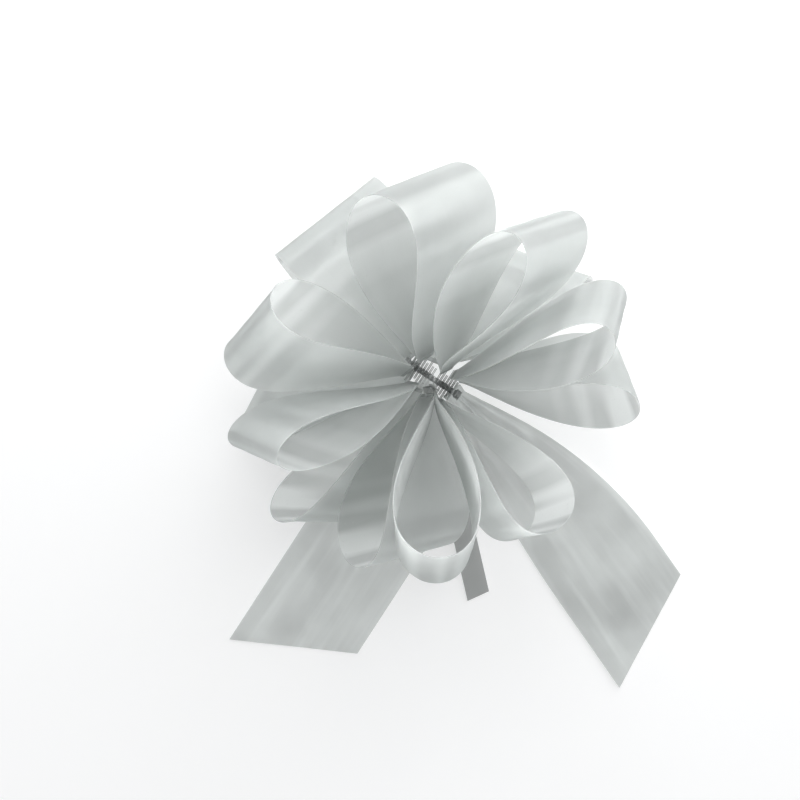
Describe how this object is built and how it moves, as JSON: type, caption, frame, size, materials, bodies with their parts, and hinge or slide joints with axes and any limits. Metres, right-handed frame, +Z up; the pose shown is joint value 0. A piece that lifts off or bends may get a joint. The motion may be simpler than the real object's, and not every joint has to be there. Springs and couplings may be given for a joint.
{
  "type": "gift bow",
  "caption": "Gathered pull bow of wide satin ribbon: loops radiate all round from necks threaded on a pull ribbon, with two slant-cut tails and a narrow pull end.",
  "frame": {"origin": "on the table, straight under the middle of the stack of necks", "axes": "+Z up, towards the viewer of the bow's face; +Y away from the tails, up in a picture of the bow's face; +X to the right"},
  "size_m": [0.1958, 0.2144, 0.1337],
  "materials": {
    "satin_ribbon": "pale satin polypropylene film, slightly see-through",
    "pull_ribbon": "pale satin polypropylene film, rolled and knotted"
  },
  "bodies": {
    "pull_strand": {"pull_ribbon": "pull_ribbon", "end_knot_left": "pull_ribbon", "end_knot_right": "pull_ribbon"},
    "front_loop_1": {"front_loop_1": "satin_ribbon"},
    "front_loop_2": {"front_loop_2": "satin_ribbon"},
    "front_loop_3": {"front_loop_3": "satin_ribbon"},
    "front_loop_4": {"front_loop_4": "satin_ribbon"},
    "front_loop_5": {"front_loop_5": "satin_ribbon"},
    "front_loop_6": {"front_loop_6": "satin_ribbon"},
    "front_loop_7": {"front_loop_7": "satin_ribbon"},
    "back_loop_1": {"back_loop_1": "satin_ribbon"},
    "back_loop_2": {"back_loop_2": "satin_ribbon"},
    "back_loop_3": {"back_loop_3": "satin_ribbon"},
    "back_loop_4": {"back_loop_4": "satin_ribbon"},
    "back_loop_5": {"back_loop_5": "satin_ribbon"},
    "back_loop_6": {"back_loop_6": "satin_ribbon"},
    "left_tail": {"left_tail": "satin_ribbon"},
    "right_tail": {"right_tail": "satin_ribbon"}
  },
  "joints": [
    {"name": "front_loop_1_turn", "type": "hinge", "parent": "pull_strand", "child": "front_loop_1", "pos_m": [0, 0, 0.056], "axis": [0.8387, -0.5446, 0], "range_deg": [0, 8]},
    {"name": "front_loop_2_turn", "type": "hinge", "parent": "pull_strand", "child": "front_loop_2", "pos_m": [0, 0, 0.056], "axis": [0.8387, -0.5446, 0], "range_deg": [-4, 7]},
    {"name": "front_loop_3_turn", "type": "hinge", "parent": "pull_strand", "child": "front_loop_3", "pos_m": [0, 0, 0.056], "axis": [0.8387, -0.5446, 0], "range_deg": [-5, 8]},
    {"name": "front_loop_4_turn", "type": "hinge", "parent": "pull_strand", "child": "front_loop_4", "pos_m": [0, 0, 0.056], "axis": [-0.8387, 0.5446, 0], "range_deg": [-2, 2]},
    {"name": "front_loop_5_turn", "type": "hinge", "parent": "pull_strand", "child": "front_loop_5", "pos_m": [0, 0, 0.056], "axis": [-0.8387, 0.5446, 0], "range_deg": [0, 2]},
    {"name": "front_loop_6_turn", "type": "hinge", "parent": "pull_strand", "child": "front_loop_6", "pos_m": [0, 0, 0.056], "axis": [-0.8387, 0.5446, 0], "range_deg": [-1, 2]},
    {"name": "front_loop_7_turn", "type": "hinge", "parent": "pull_strand", "child": "front_loop_7", "pos_m": [0, 0, 0.056], "axis": [-0.8387, 0.5446, 0], "range_deg": [-2, 1]},
    {"name": "back_loop_1_turn", "type": "hinge", "parent": "pull_strand", "child": "back_loop_1", "pos_m": [0, 0, 0.056], "axis": [0.8387, -0.5446, 0], "range_deg": [-1, 1]},
    {"name": "back_loop_2_turn", "type": "hinge", "parent": "pull_strand", "child": "back_loop_2", "pos_m": [0, 0, 0.056], "axis": [0.8387, -0.5446, 0], "range_deg": [-1, 2]},
    {"name": "back_loop_3_turn", "type": "hinge", "parent": "pull_strand", "child": "back_loop_3", "pos_m": [0, 0, 0.056], "axis": [0.8387, -0.5446, 0], "range_deg": [-4, 4]},
    {"name": "back_loop_4_turn", "type": "hinge", "parent": "pull_strand", "child": "back_loop_4", "pos_m": [0, 0, 0.056], "axis": [-0.8387, 0.5446, 0], "range_deg": [-1, 1]},
    {"name": "back_loop_5_turn", "type": "hinge", "parent": "pull_strand", "child": "back_loop_5", "pos_m": [0, 0, 0.056], "axis": [-0.8387, 0.5446, 0], "range_deg": [-1, 2]},
    {"name": "back_loop_6_turn", "type": "hinge", "parent": "pull_strand", "child": "back_loop_6", "pos_m": [0, 0, 0.056], "axis": [-0.8387, 0.5446, 0], "range_deg": [0, 4]},
    {"name": "left_tail_turn", "type": "hinge", "parent": "pull_strand", "child": "left_tail", "pos_m": [0, 0, 0.056], "axis": [-0.8387, 0.5446, 0], "range_deg": [0, 1.5]},
    {"name": "right_tail_turn", "type": "hinge", "parent": "pull_strand", "child": "right_tail", "pos_m": [0, 0, 0.056], "axis": [-0.8387, 0.5446, 0], "range_deg": [0, 10]}
  ]
}
